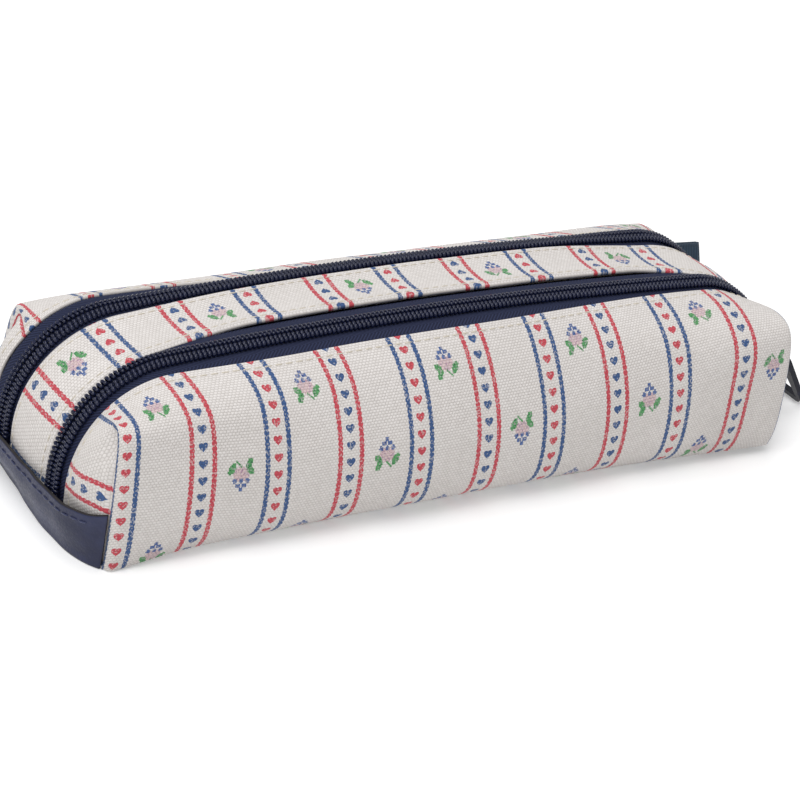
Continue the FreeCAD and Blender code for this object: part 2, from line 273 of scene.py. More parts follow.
def zip_lift(side, s, y):
    """Lift of a zip's surface at y, next to its own centre line."""
    return zip_lean(side, s) * np.maximum(np.abs(y) - ZIP_Y, -4.0)


# %% [markdown]
# The front and back panels are one cut of cloth each.  A dart at every upright corner turns the
# cloth round the end, so a panel is three grids: the face with its top lip, and a wing on each
# end.  Above the dart the cloth runs on unbroken.  The corner nearest to the camera stands up in
# a sharp point; the other three lean inwards and are rounder.

# %% Shape of a canvas panel
EDGE_U = {-1: 109.1, 1: 110.1}      # place of the left and right corner seams on the flat cloth
CORNER_X = {(-1, -1): 105.0, (-1, 1): 103.2, (1, -1): 101.0, (1, 1): 105.0}     # by side and end
CORNER_LEAN = {(-1, -1): 0.0, (-1, 1): 5.0, (1, -1): 3.0, (1, 1): 2.4}
CORNER_ROUND = {(-1, -1): 3.0, (-1, 1): 9.0, (1, -1): 7.0, (1, 1): 7.0}
FULLNESS = 1.16           # cloth eased round the end arc, for each millimetre of zip
PANEL_ROWS = 97
DART_ROW = PANEL_ROWS // 3
FACE_COLUMNS = 241
CANVAS = 0.9


def fold_edge(side, s):
    """The folded edge beside the zip, as a distance from the middle of the case.  The front one
    comes closer to its zip towards the ends; the back one draws back from it on the left."""
    if side < 0:
        y = 22.2 - 3.3 * smooth_step(-s, 45, 105) - 4.2 * smooth_step(s, 5, 80)
    else:
        y = 22.6 - 3.6 * smooth_step(s, -62, -22)
    return y + 0.18 * ripple(s, s * 0, 3, 40)


def fold_line(side, s):
    """The folded edge in space, drawn with y positive."""
    y = fold_edge(side, s)
    return over(s, y, -0.9 + zip_lift(side, s, y))


def face_columns(u, side):
    """Control points of the panel's columns, from the folded edge over the eave and down.
    u is the place along the flat cloth; the panel is drawn with y positive."""
    end = np.sign(u)
    edge_u = np.where(end < 0, EDGE_U[-1], EDGE_U[1])
    edge_x, edge_lean, radius = (np.where(end < 0, corner[side, -1], corner[side, 1])
                                 for corner in (CORNER_X, CORNER_LEAN, CORNER_ROUND))
    left = np.clip((edge_u - np.abs(u)) / radius, 0, 1)
    along = np.where(left < 1, edge_u - radius * (1 + left ** 2) / 2, np.abs(u)) / (edge_u - radius / 2)
    turned = (1 - 2 / math.pi * (left * np.sqrt(1 - left ** 2) + np.arcsin(left))) * radius * math.pi / 4
    a = np.abs(u) / edge_u
    s = end * np.where(np.abs(u) < CROWN_LENGTH, np.abs(u),
                       CROWN_LENGTH + (np.abs(u) - CROWN_LENGTH) / FULLNESS)
    fold = fold_line(side, s)
    corner = smooth_step(np.abs(u), 82, edge_u)
    late = smooth_step(np.abs(u), edge_u - 11, edge_u)
    full = ((end > 0) & (side < 0)) * smooth_step(np.abs(u), 58, 92)
    reach = np.where(end < 0, 0.3, 3.6) if side < 0 else 2.6
    crown_drop = TOP - zip_line(np.clip(s, -CROWN_LENGTH, CROWN_LENGTH))[1]

    def at(mid_y, mid_z, end_y, end_z, follow=0.0):
        """A control that goes from its place on the long face to its place at the corner.  The
        face turns back to the seam round its radius; three corners lean inwards with height."""
        z = mid_z - follow * crown_drop + (end_z - mid_z + follow * crown_drop) * corner
        lean = edge_lean * late * np.clip((z - 10) / 30, 0, 1.2) ** 2
        x = end * (along * edge_x - lean)
        y = mid_y + (end_y + reach - mid_y) * a ** 2.4 - turned
        return np.stack((x, y, z), axis=-1)

    if side < 0:
        eave = at(31.3, 38.9, 35.8, 39.4 + 1.4 * full, 0.2)
        lip = fold + (eave - fold) * 0.45
        lip[:, 2] += 1.0 * (1 - corner) + full * 2.2
        upper = at(36.4, 32.0, 36.4, 29.5, 0.2)
        plump = np.stack((0 * u, 2.8 * full * (1 - corner), 0 * u), axis=-1)
        lip, eave, upper = lip + 0.6 * plump, eave + plump, upper + 0.8 * plump
    else:
        eave = at(33.5, 38.1, 34.6, 36.0, 0.6)
        lip = fold + (eave - fold) * 0.42
        upper = at(38.9, 32.5, 36.2, 28.5, 0.3)
    raised = 2.4 * full if side < 0 else 0.0
    return np.stack((fold, lip, eave, upper, at(40.2, 24.5, 36.8, 20.0), at(41.8, 14.5, 36.8, 11.0),
                     at(40.4, 6.5, 36.6, 4.0 + raised), at(34.2, 2.2, 36.2, 0.3 + raised)))


def panel_grids(side, seed):
    """The three grids of a panel, with y positive.  The wing is a Coons patch between the folded
    edge, the cloth above the dart, the corner seam and the base."""
    u = np.linspace(-EDGE_U[-1], EDGE_U[1], FACE_COLUMNS)
    t = np.linspace(0.04, 0.96, PANEL_ROWS)
    face = spline(face_columns(u, side), t)
    v = lengths(face)
    still = np.sin(math.pi * np.linspace(0, 1, PANEL_ROWS))[:, None]
    calm = still * np.clip(1 - (np.abs(u) / EDGE_U[1]) ** 8, 0, 1)[None]
    face[..., 1] += 0.6 * calm * ripple(u[None], v, seed, 46)
    face[..., 2] += 0.2 * calm * ripple(u[None], v, seed + 1, 30)
    flat = stacked(u[None], v)
    grids = [(face, flat, False)]
    for column, end in ((0, -1), (-1, 1)):
        top, seam = face[:DART_ROW + 1, column], face[DART_ROW:, column]
        r = lengths(seam)[:, None] / lengths(seam)[-1]
        c = lengths(top)[None, :] / lengths(top)[-1]
        start = CROWN_LENGTH + (EDGE_U[end] - CROWN_LENGTH) / FULLNESS
        fold = fold_line(side, end * (start + (FOOT_S - 1.0 - start) * r))[:, 0]
        bottom = fold[-1] + (seam[-1] - fold[-1]) * c[0][:, None]
        r3, c3 = r[..., None], c[..., None]
        wing = ((1 - c3) * fold[:, None] + c3 * seam[:, None] + (1 - r3) * top[None] + r3 * bottom[None]
                - (1 - r3) * ((1 - c3) * top[0] + c3 * top[-1])
                - r3 * ((1 - c3) * fold[-1] + c3 * seam[-1]))
        swell = np.sin(math.pi * c) * np.sin(math.pi * np.minimum(r / (0.8 if side < 0 else 0.5), 1))
        tuck = np.exp(-((c - 0.82) / 0.14) ** 2 - ((r - 0.13) / 0.12) ** 2)
        groove = np.exp(-((c - 0.95) / 0.03) ** 2) * smooth_step(r, 0.02, 0.12)
        sharp = 1.0 if (end < 0 and side < 0) else 0.35
        wing[..., 0] += end * (2.4 * swell - 2.2 * sharp * tuck - 0.8 * groove)
        depth = lengths(seam)[-1]
        reach = lengths(top)[-1] * (1 - r) + np.linalg.norm(bottom[-1] - bottom[0]) * r
        place = np.stack((end * (EDGE_U[end] + depth * r) + 0 * c, reach * c), axis=-1)
        grids.append((wing, place, end > 0))
    return grids


def mirrored(grids):
    """The same grids on the other side of the case, with their faces turned to match."""
    flip = np.array((1, -1, 1))
    return [(points * flip, flat, not turned) for points, flat, turned in grids]


panels = {"back": panel_grids(1, 11), "front": mirrored(panel_grids(-1, 5))}

# %% [markdown]
# The print was on the cloth before it was cut, so each panel starts at its own place in the
# repeat: on the front a stripe stands in the middle, and the back is cut one stripe further.

# %% Front and back panels
STRIPE_PITCH = 21.2
PRINT_SHIFT = {"front": 0.0, "back": STRIPE_PITCH}
for name, grids in panels.items():
    grids = [(p, f + np.array((PRINT_SHIFT[name], 0.0)), turned) for p, f, turned in grids]
    panel = cloth(name + "_canvas", grids, CANVAS, "canvas", name + "_panel")


# %% [markdown]
# The strip between the zips is one long band with a folded edge on each side.  It sags a little
# between them, and over the middle of the case it stands up against the leaning back zip.

# %% Middle strip
STRIP_HALF = 8.6
STRIP_CUT = (69.4, 29.5)        # place of the middle of the strip in the print


def strip_grid():
    """Rows run across the strip, columns along it.  Both edges wander: the front one draws back
    from its zip over the middle, and the back one climbs over the edge of its coil."""
    s = np.linspace(-(FOOT_S - 2), FOOT_S - 2, 361)[None, :]
    across = np.sin(np.linspace(-1, 1, 29) * math.pi / 2)[:, None]
    drawn = smooth_step(s, -100, -50) * (1 - smooth_step(s, 66, 100))
    front = -STRIP_HALF - 2.4 + 6.4 * drawn
    back = STRIP_HALF + 1.7 - 0.9 * smooth_step(s, 45, 65)
    y = front + (back - front) * (across + 1) / 2 + 0.15 * ripple(s, 0 * s, 8, 35)
    upright = smooth_step(np.abs(s), 84, 116)
    sag = (across ** 2 - 1) * (0.9 - (2.0 + 2.1 * (s > 0)) * upright)
    rise = 1.35 * slump(s) * (across + 1) / 2 + 0.25 * drawn * (1 - across) / 2
    lift = sag + rise - 0.35 + 0.18 * ripple(s, STRIP_HALF * across, 21, 30) * (1 - across ** 4)
    lift = lift - 0.55 * smooth_step(np.abs(across), 0.90, 1.0)
    flat = stacked(s + STRIP_CUT[0], STRIP_HALF * across + STRIP_CUT[1])
    return over(s, y, lift), flat, False


strip_parts = strip_grid()
strip = cloth("strip_canvas", [strip_parts], CANVAS, "canvas", "middle_strip")


# %% [markdown]
# The base is a flat panel.  Along the middle of the front and back its edge is drawn up a little
# by the seam, and there a sliver of it shows under the panel.

# %% Base panel
BASE_HALF = 103.6


def base_grid():
    """The rim curls up with a smooth step of the distance from the middle line."""
    x = np.linspace(-1, 1, 121)[None, :]
    y = np.linspace(-1, 1, 57)[:, None]
    half = 34.6 - 0.6 * (1 - x ** 2)
    rim = smooth_step(np.abs(y), 0.88, 1.0) * (1 - np.abs(x) ** 6)
    points = stacked(x * (BASE_HALF + 2.5 * (1 - y ** 2) + 1.6 * y * np.sign(x)), y * half,
                     0.1 + 2.1 * rim)
    flat = stacked(x * BASE_HALF, y * half + 8.0)
    return points, flat, True


base_parts = base_grid()
base = cloth("base_canvas", [base_parts], CANVAS, "canvas", "base_panel")


# %% [markdown]
# Each half of a zip is a woven tape with the coil sewn along its edge.  The tape dips away from
# the coil to where the canvas is folded over it.

# %% Zip tapes
TAPE = 0.5
TAPE_WIDTH = 11.5
INNER_EDGE = 7.1        # from the zip's centre line to the edge of the strip


def tape_grid(side, out, droop):
    """out is the direction across, from the zip's centre line to the tape's other edge.  From
    2 mm before the folded edge of the canvas, the tape dips with the square of the distance."""
    s = np.linspace(-(FOOT_S - 3), FOOT_S - 3, 361)[None, :]
    w = np.linspace(0.3, TAPE_WIDTH, 21)[:, None]
    y = side * ZIP_Y + out * w
    edge = fold_edge(side, s) - ZIP_Y if out * side > 0 else INNER_EDGE
    past = np.clip((w - edge + 2.0) / 5.0, 0, 1.15) ** 2
    lift = -1.0 - droop * past + zip_lift(side, s, y)
    flat = stacked(s, w)
    return over(s, y, lift), flat, out < 0


for name, side in SIDES.items():
    for edge, out, droop in (("outer", side, 5.2), ("inner", -side, 1.6)):
        grid = tape_grid(side, out, droop)
        tape = cloth(f"{name}_{edge}_tape", [grid], TAPE, "zip_tape", f"{name}_zip_{edge}_tape")


# %% [markdown]
# A coil zip's teeth are one nylon thread wound in flat loops.  Each loop shows as two beads: the
# bend at the outer edge, and the head near the middle that locks with the other half.  One loop
# is a short thick thread swept along a path, and it is repeated at the pitch of the coil, the two
# halves half a pitch apart.  The threads are a few dozen faces each, because there are hundreds.

# %% Copies along the zips
def tube(path, radius, sides, helper=(1.0, 0.0, 0.0)):
    """A thin closed tube along a short path in local millimetres: rings of points that stand
    square to the path.  helper is any direction that the path never takes."""
    path = np.asarray(path, float)
    ahead = np.gradient(path, axis=0)
    ahead /= np.linalg.norm(ahead, axis=1)[:, None]
    first = np.cross(ahead, np.array(helper))
    first /= np.linalg.norm(first, axis=1)[:, None]
    second = np.cross(ahead, first)
    angle = np.arange(sides) * 2 * math.pi / sides
    ring = first[:, None] * np.cos(angle)[None, :, None] + second[:, None] * np.sin(angle)[None, :, None]
    points = (path[:, None] + np.asarray(radius).reshape(-1, 1, 1) * ring).reshape(-1, 3)
    i = np.arange(len(path) * sides).reshape(len(path), sides)
    j = np.roll(i, -1, axis=1)
    faces = np.stack((i[:-1], j[:-1], j[1:], i[1:]), axis=-1).reshape(-1, 4)
    return points, [list(f) for f in faces] + [list(i[0][::-1]), list(i[-1])]


def stamp(name, template, faces, origins, along, across, up):
    """One mesh of many copies of a template: each template point's three coordinates are laid
    along three unit vectors from each origin."""
    points = (origins[:, None] + template[None, :, 0:1] * along[:, None]
              + template[None, :, 1:2] * across[:, None] + template[None, :, 2:3] * up[:, None])
    count = len(template)
    all_faces = [[v + k * count for v in f] for k in range(len(origins)) for f in faces]
    return make_mesh(name, points.reshape(-1, 3), all_faces)


COIL_PITCH = 1.27
COIL_END = CROWN_LENGTH + ARC_LENGTH - 0.3
COIL_LEFT = -COIL_END - 5.5         # behind the left patch
COIL_RIGHT = COIL_END - 12.8        # where the slider rests


def coil(name, side, out, phase):
    """Loops at the coil's pitch, turned with the lean of their zip."""
    path = [(-0.10, 2.15, -0.75), (-0.12, 2.50, -0.50), (-0.08, 2.52, 0.00), (0.0, 2.10, 0.26),
            (0.08, 1.60, -0.15), (0.14, 1.22, 0.12), (0.20, 0.94, 0.34), (0.22, 0.86, -0.05),
            (0.20, 0.90, -0.50)]
    radius = np.array((0.40, 0.50, 0.54, 0.50, 0.38, 0.44, 0.52, 0.46, 0.36))
    template, faces = tube(path, radius, 7)
    s = np.arange(COIL_LEFT + phase * COIL_PITCH, COIL_RIGHT, COIL_PITCH)
    _, _, turn = zip_line(s)
    zero = np.zeros_like(turn)
    along = np.stack((np.cos(turn), zero, -np.sin(turn)), axis=-1)
    normal = np.stack((np.sin(turn), zero, np.cos(turn)), axis=-1)
    outward = np.tile((0.0, float(out), 0.0), (len(s), 1))
    slope = (zip_lean(side, s) * side * out)[:, None]
    across = (outward + slope * normal) / np.sqrt(1 + slope ** 2)
    up = (normal - slope * outward) / np.sqrt(1 + slope ** 2)
    origins = over(s, np.full_like(s, side * ZIP_Y), 0.1)
    obj = stamp(f"{name}_coil", template, faces, origins, along, across, up)
    side_name, edge = name.split("_")
    return add_piece(obj, "case", "zip_coil", f"{side_name}_zip_{edge}_coil")


for name, side in SIDES.items():
    coil(name + "_outer", side, side, 0.0)
    coil(name + "_inner", side, -side, 0.5)


# %% [markdown]
# A thin leather patch is sewn across the foot of each end.  It follows the two corner seams,
# bulges between them over the filled end, and ends at the base.  Its raw cut edge is dark, and the
# top edge is a little uneven where the stitches pull it.

# %% Patches on the ends
PATCH_TOP = 14.2
PATCH_X = 111.9           # the patch's middle, at its top edge


def seam_place(grids, end, z):
    """x and y of a panel's corner seam at the heights z."""
    seam = grids[0][0][DART_ROW:, 0 if end < 0 else -1]
    order = np.argsort(seam[:, 2])
    return [np.interp(z, seam[order, 2], seam[order, k]) for k in (0, 1)]


def patch_grid(end):
    """Across the end, x goes from one seam to the other and swells with 1 - |q| ^ n to cover the
    feet of the zips.  It bulges less at the base, and least there at the back."""
    q = np.linspace(-1, 1, 121)[None, :]
    p = np.linspace(0, 1, 31)[:, None]
    top = PATCH_TOP + 1.2 * np.abs(q) ** 8 - 1.3 * (1 - q ** 4) + 0.22 * ripple(q * 36, 0 * q, 9, 9)
    z = 0.2 + (top - 0.2) * p
    front_x, front_y = seam_place(panels["front"], end, z[:, :1])
    back_x, back_y = seam_place(panels["back"], end, z[:, -1:])
    m = (q + 1) / 2
    seam_x = front_x + (back_x - front_x) * m
    full = 0.72 - 0.20 * smooth_step(q, -0.3, 0.5)
    full = full + (1 - full) * smooth_step(z, 0, 9)
    bulge = (PATCH_X - np.abs(seam_x)) * full
    swell = 1 - np.abs(q) ** (np.where(q < 0, 6.0, 4.4) if end < 0 else 3.2)
    x = seam_x + end * (0.7 + bulge * swell)
    x = x + 0.35 * ripple(q * 36, z, 31, 16) * (1 - q ** 6)
    y = (front_y - 0.15) + (back_y - front_y + 0.3) * m
    flat = stacked(q * 37.0, z)
    return stacked(x, y, z), flat, end < 0


patch_parts = {}
for name, end in ENDS.items():
    patch_parts[name] = patch_grid(end)
    patch = cloth(name + "_patch", [patch_parts[name]], 0.9, "patch_leather", name + "_end_patch")
    patch.modifiers["thickness"].material_offset_rim = 1


# %% [markdown]
# A short loop of ribbon is caught in the back right corner seam as a finger hold.  It is one
# length of ribbon, folded in half, with its fold outwards.

# %% Side tab
TAB_LOW, TAB_HIGH = (np.array(c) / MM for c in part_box("side_tab"))


def tab_grid():
    """The ribbon runs out along one side, round a small half circle, and back on the other."""
    root = CORNER_X[1, 1] - 4.0
    reach = TAB_HIGH[0] - 1.2 - root
    bend = 0.45
    run = np.linspace(0, 2 * reach + math.pi * bend, 61)[None, :]
    turn = np.clip((run - reach) / bend, 0, math.pi)
    x = np.where(run < reach, run, np.where(turn < math.pi, reach + bend * np.sin(turn),
                                            2 * reach + math.pi * bend - run))
    off = -bend * np.cos(turn)
    z = np.linspace(TAB_LOW[2], TAB_HIGH[2], 15)[:, None]
    swing = -x * (0.12 + 0.02 * (TAB_HIGH[2] - z))
    y = (TAB_LOW[1] + TAB_HIGH[1]) / 2 - 1.0 - off + swing
    flat = stacked(run, z - TAB_LOW[2])
    return stacked(root + x, y, z + 2.3), flat, False


tab_parts = tab_grid()
tab = cloth("ribbon_tab", [tab_parts], 0.45, "tab_ribbon", "side_tab")


# %% [markdown]
# Inside, each compartment has a plain lining, open under its zip, and one wall of cloth hangs
# between the two compartments.  Both are closed off from view while the zips are shut.

# %% Linings and divider
LINING_HALF = 104.0


def lining_grid():
    """A sleeve whose section is one open loop, from one lip of the mouth down the divider, along
    the base and up the outer wall to the other lip.  It shrinks to a flat wall at each end."""
    x = np.concatenate(([-LINING_HALF] * 3, np.linspace(-LINING_HALF, LINING_HALF, 105), [LINING_HALF] * 3))
    close = np.concatenate(([0.05, 0.4, 0.75], np.ones(105), [0.75, 0.4, 0.05]))
    roof = zip_line(length_at(x))[1] - 3.9
    one = np.ones_like(x)
    outer = 35.5 - 3.5 * smooth_step(np.abs(x), 70, LINING_HALF)
    ys = [7.5 * one, 2.2 * one, 1.5 * one, 1.5 * one, 2.2 * one, 30.5 * one, outer, outer,
          27 * one, 19 * one]
    zs = [roof, roof - 0.3, roof - 1.5, 4.0 * one, 3.0 * one, 3.0 * one, 9 * one,
          np.minimum(roof - 8, 28.0), roof - 5.0, roof - 1.2]
    section = np.stack((np.tile(x, (10, 1)), np.array(ys), np.array(zs)), axis=-1)
    loop = spline(section, np.linspace(0, 1, 61))
    middle = np.stack((x, 16 * one, 14 * one), axis=-1)
    loop = middle + (loop - middle) * close[:, None]
    run = np.concatenate(([0.0], np.cumsum(np.linalg.norm(np.diff(loop[30], axis=0), axis=-1))))
    flat = stacked(run[None], lengths(loop))
    return loop, flat, False


for name, side in SIDES.items():
    grids = [lining_grid()] if side > 0 else mirrored([lining_grid()])
    lining = cloth(name + "_lining", grids, 0.4, "lining_cloth", name + "_pocket_lining")

wall_x = np.linspace(-103, 103, 104)[None, :]
wall_z = 1.5 + (zip_line(length_at(wall_x))[1] - 4.4) * np.linspace(0, 1, 15)[:, None]
wall_points = stacked(wall_x, 0.3 * ripple(wall_x, wall_z, 4, 40), wall_z)
wall_parts = (wall_points, wall_points[..., [0, 2]], False)
wall = cloth("divider_wall", [wall_parts], 0.6, "lining_cloth", "divider")


# %% [markdown]
# Every folded edge is top-stitched.  A stitch is a short plump length of thread that dips into
# the cloth at both ends.  The rows of stitches follow a line drawn on the flat cloth, so they keep
# their distance from the edge wherever the cloth goes.

# %% Stitches
STITCH, STITCH_GAP, THREAD_R = 2.2, 0.7, 0.21
EDGE_TO_STITCH = 2.3


def drawn_line(points, flat, distance):
    """The line on a grid at this distance from its first row, found in each column on the flat
    cloth, and the outward direction of the surface there."""
    v = flat[..., 1]
    row = np.array([np.interp(distance, v[:, k], np.arange(len(v))) for k in range(v.shape[1])])
    i = np.clip(row.astype(int), 0, len(v) - 2)
    f, k = (row - i)[:, None], np.arange(v.shape[1])
    line = points[i, k] * (1 - f) + points[i + 1, k] * f
    across = points[i + 1, k] - points[i, k]
    normal = np.cross(np.gradient(line, axis=0), across)
    normal /= np.linalg.norm(normal, axis=1)[:, None]
    return line, normal


def stitches(name, lines, away, sink=0.05):
    """Capsules along the lines at the stitch pitch.  away is a point inside the case, so that
    the stitches always lie on the outer face."""
    template, faces = tube([(-STITCH / 2, 0, -0.16), (-STITCH / 2 + 0.3, 0, 0.04), (0, 0, 0.10),
                            (STITCH / 2 - 0.3, 0, 0.04), (STITCH / 2, 0, -0.16)],
                           np.array((0.6, 0.95, 1.0, 0.95, 0.6)) * THREAD_R, 6, (0.0, 1.0, 0.0))
    origins, alongs, ups = [], [], []
    for line, normal in lines:
        normal = normal * np.sign(np.einsum("ij,ij->i", normal, line - away))[:, None]
        run = np.concatenate(([0.0], np.cumsum(np.linalg.norm(np.diff(line, axis=0), axis=1))))
        at = np.arange(1.5, run[-1] - 1.5, STITCH + STITCH_GAP)
        ahead = np.gradient(line, run, axis=0)
        origin, along, up = (np.stack([np.interp(at, run, a[:, k]) for k in range(3)], axis=-1)
                             for a in (line, ahead, normal))
        up /= np.linalg.norm(up, axis=1)[:, None]
        along /= np.linalg.norm(along, axis=1)[:, None]
        origins.append(origin - sink * up)
        alongs.append(along)
        ups.append(up)
    along, up = np.concatenate(alongs), np.concatenate(ups)
    obj = stamp(name, template, faces, np.concatenate(origins), along, np.cross(up, along), up)
    return add_piece(obj, "case", "canvas")


INSIDE = np.array((0.0, 0.0, 15.0))
for name, grids in panels.items():
    rows = [drawn_line(*grids[0][:2], EDGE_TO_STITCH)]
    for points, flat, _ in grids[1:]:
        rows.append(drawn_line(points.transpose(1, 0, 2), flat.transpose(1, 0, 2), EDGE_TO_STITCH))
    stitches(name + "_edge_stitches", rows, INSIDE)
strip_rows = [drawn_line(*strip_parts[:2], STRIP_CUT[1] + k * (STRIP_HALF - 2.0)) for k in (-1, 1)]
stitches("strip_stitches", strip_rows, INSIDE)
for name, (points, flat, _) in patch_parts.items():
    below = (points[::-1], np.stack((flat[::-1, :, 0], flat[-1:, :, 1] - flat[::-1, :, 1]), axis=-1))
    row = [tuple(a[6:-6] for a in drawn_line(*below, 2.1))]
    stitches(name + "_patch_stitches", row, INSIDE, sink=-0.08)


# %% [markdown]
# Materials.  Each is a small tree of nodes that ends in one shader.  A short helper adds nodes and
# joins them, so that each pattern below reads like the formula in its description.

# %% Helpers for nodes
def srgb(r, g, b):
    """Screen colour from 0 to 255 to the linear colour that shaders use."""
    c = np.array((r, g, b)) / 255
    return (*np.where(c <= 0.04045, c / 12.92, ((c + 0.055) / 1.055) ** 2.4), 1.0)


class Tree:
    """Adds nodes to one tree.  Values may be numbers or sockets."""

    def __init__(self, tree):
        self.tree = tree

    def put(self, socket, value):
        if isinstance(value, bpy.types.NodeSocket):
            self.tree.links.new(value, socket)
        else:
            socket.default_value = value

    def node(self, kind, inputs, output=0, **settings):
        node = self.tree.nodes.new(kind)
        for key, value in settings.items():
            setattr(node, key, value)
        for key, value in inputs.items():
            self.put(node.inputs[key], value)
        return node.outputs[output]

    def math(self, operation, *values):
        return self.node("ShaderNodeMath", dict(enumerate(values)), operation=operation)

    def plus(self, a, b):
        return self.math("ADD", a, b)

    def minus(self, a, b):
        return self.math("SUBTRACT", a, b)

    def times(self, a, b):
        return self.math("MULTIPLY", a, b)

    def over(self, a, b):
        return self.math("DIVIDE", a, b)

    def vector(self, operation, *values, output=0):
        return self.node("ShaderNodeVectorMath", dict(enumerate(values)), output, operation=operation)

    def split(self, vector):
        """The three coordinates of a vector."""
        node = self.tree.nodes.new("ShaderNodeSeparateXYZ")
        self.put(node.inputs[0], vector)
        return node.outputs

    def wave(self, value, length):
        """Goes from 0 to 1 and back once in every length of the value."""
        sine = self.math("SINE", self.times(value, 2 * math.pi / length))
        return self.plus(0.5, self.times(sine, 0.5))

    def between(self, value, low, high, start=0.0, end=1.0):
        """Smooth step from start to end as value goes from low to high."""
        return self.node("ShaderNodeMapRange", {"Value": value, "From Min": low, "From Max": high,
                                                "To Min": start, "To Max": end},
                         interpolation_type="SMOOTHSTEP")

    def mix(self, factor, one, other):
        return self.node("ShaderNodeMix", {0: factor, 6: one, 7: other}, 2, data_type="RGBA")

    def noise(self, vector, scale, detail=2.0):
        return self.node("ShaderNodeTexNoise", {"Vector": vector, "Scale": scale, "Detail": detail})

    def both(self, *masks):
        """Where every mask is 1."""
        total = masks[0]
        for mask in masks[1:]:
            total = self.times(total, mask)
        return total

    def any(self, *masks):
        """Where at least one mask is 1."""
        total = masks[0]
        for mask in masks[1:]:
            total = self.math("MAXIMUM", total, mask)
        return total


def group(name, inputs, outputs):
    """An empty shared node group.  Returns the tree, its inputs and its output node."""
    tree = bpy.data.node_groups.new(name, "ShaderNodeTree")
    for label, kind in inputs.items():
        tree.interface.new_socket(label, in_out="INPUT", socket_type=kind)
    for label, kind in outputs.items():
        tree.interface.new_socket(label, in_out="OUTPUT", socket_type=kind)
    return Tree(tree), tree.nodes.new("NodeGroupInput").outputs, tree.nodes.new("NodeGroupOutput").inputs


def material(name, roughness=0.7, **constants):
    """A new material.  Returns its tree and its shader; constants are set on the shader itself."""
    made = bpy.data.materials.new(name)
    made.use_nodes = True
    tree = Tree(made.node_tree)
    shader = made.node_tree.nodes["Principled BSDF"]
    shader.inputs["Roughness"].default_value = roughness
    for label, value in constants.items():
        shader.inputs[label.replace("_", " ")].default_value = value
    print("material:", name)
    return made, tree, shader


def cloth_mm(tree):
    """Place on the flat cloth in millimetres."""
    place = tree.node("ShaderNodeUVMap", {}, uv_map="cloth")
    return tree.vector("MULTIPLY", place, (1000.0, 1000.0, 1000.0))


def object_mm(tree):
    place = tree.node("ShaderNodeTexCoord", {}, "Object")
    return tree.vector("MULTIPLY", place, (1000.0, 1000.0, 1000.0))


def colour_between(tree, shader, factor, dark, light):
    """Base colour that goes from dark to light with the factor."""
    tree.put(shader.inputs["Base Color"], tree.mix(factor, dark, light))


def use_group(tree, node_group, vector):
    """A group node in a material, fed with a place in millimetres."""
    node = tree.tree.nodes.new("ShaderNodeGroup")
    node.node_tree = node_group.tree
    tree.put(node.inputs[0], vector)
    return node.outputs


def bump(tree, shader, height, depth, strength=1.0):
    """Raises the surface by depth millimetres times height."""
    tree.put(shader.inputs["Normal"], tree.node(
        "ShaderNodeBump", {"Height": height, "Distance": depth * MM, "Strength": strength}))


# %% [markdown]
# The canvas is a coarse basket weave: short plump cells of yarn, each row shifted by half a cell.
# One group gives the height of the weave, to be used for both its relief and its colour.

# %% Weave
COLOR, VALUE, VECTOR = "NodeSocketColor", "NodeSocketFloat", "NodeSocketVector"
weave, given, result = group("basket_weave", {"Place": VECTOR}, {"Height": VALUE, "Yarn": VALUE})
x, y, _ = weave.split(given[0])
CELL_U, CELL_V = 1.02, 0.72
row = weave.over(y, CELL_V)
shift = weave.times(weave.math("FLOOR", row), 0.5)
cell = weave.plus(weave.over(x, CELL_U), shift)
pillow = weave.both(weave.math("SINE", weave.times(weave.math("FRACT", cell), math.pi)),
                    weave.math("SINE", weave.times(weave.math("FRACT", row), math.pi)))
number = weave.node("ShaderNodeCombineXYZ", {0: weave.math("FLOOR", cell), 1: weave.math("FLOOR", row)})
yarn = weave.node("ShaderNodeTexWhiteNoise", {"Vector": number})
weave.put(result["Height"], weave.math("POWER", pillow, 0.6))
weave.put(result["Yarn"], yarn)

# %% [markdown]
# The print repeats across the cloth: a stripe every 21.2 mm, with a sprig of flowers now and then
# between two stripes.  A stripe is a pair of scalloped lines with a column of hearts.  It is red
# with blue hearts, then blue with red hearts, in turn.  The cloth is printed through a fine
# screen, so every shape is drawn in small steps, and the yarn shows through as lighter specks.

# %% Print: hearts and stripes
HEART_PITCH = 4.35
LINE_PLACE = 3.12          # from the middle of a stripe to each of its lines
RED, BLUE = srgb(208, 82, 94), srgb(66, 96, 146)
printed, given, result = group("print", {"Place": VECTOR}, {"Color": COLOR, "Ink": VALUE})
STEP = 0.34
snapped = printed.vector("SNAP", given[0], (STEP, STEP, 1.0))
u, v, _ = printed.split(given[0])


def stepped(value):
    """The value in whole steps, as a fine screen prints it."""
    return printed.times(printed.math("ROUND", printed.over(value, STEP)), STEP)


def offset_in_repeat(tree, value, pitch):
    """Number of the nearest repeat, and the distance from its middle."""
    number = tree.math("ROUND", tree.over(value, pitch))
    return number, tree.minus(value, tree.times(number, pitch))


stripe, du = offset_in_repeat(printed, u, STRIPE_PITCH)
odd = printed.math("PINGPONG", stripe, 1.0)
scallop = printed.math("ABSOLUTE", printed.math("SINE", printed.times(v, math.pi / 1.35)))
line_middle = printed.minus(printed.math("ABSOLUTE", du), LINE_PLACE)
line_width = printed.plus(0.48, printed.times(scallop, 0.26))
line = printed.math("LESS_THAN", printed.math("ABSOLUTE", line_middle), line_width)

